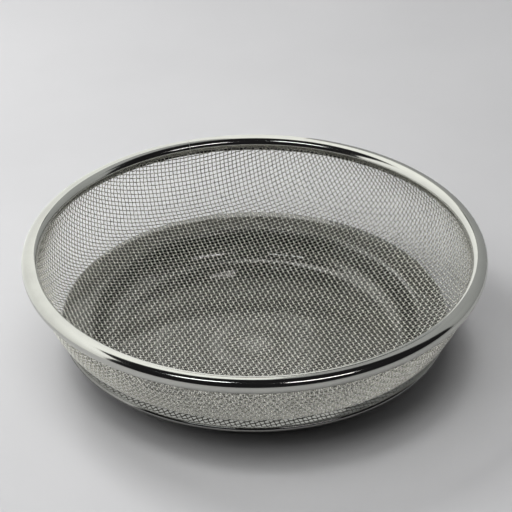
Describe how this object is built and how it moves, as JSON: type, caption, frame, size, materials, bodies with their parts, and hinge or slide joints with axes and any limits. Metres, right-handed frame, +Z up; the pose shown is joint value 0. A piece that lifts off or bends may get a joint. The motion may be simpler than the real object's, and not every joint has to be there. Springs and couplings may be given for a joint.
{
  "type": "basket strainer",
  "caption": "Round woven-wire strainer basket with a rolled rim, standing in a shallow drip tray that it lifts out of.",
  "frame": {"origin": "centre of the tray's underside, on the surface that the object stands on", "axes": "+Z up along the common axis of basket and tray; +X to the right and +Y away from a person in front"},
  "size_m": [0.24, 0.24, 0.06],
  "materials": {
    "tray_sheet": "mirror-polished stainless sheet",
    "mesh_wire": "bright drawn stainless wire, plain weave",
    "rim_strip": "mirror-polished stainless strip",
    "weld": "ground flush and polished",
    "core_wire": "drawn stainless wire"
  },
  "bodies": {
    "tray": {"drip_tray": "tray_sheet"},
    "basket": {"mesh_bowl": "mesh_wire", "rim_hoop": "rim_strip", "rim_seam_weld": "weld", "rim_core_ring": "core_wire"}
  },
  "joints": [
    {"name": "basket_lift", "type": "slide", "parent": "tray", "child": "basket", "axis": [0, 0, 1], "range_m": [0, 0.1]}
  ]
}
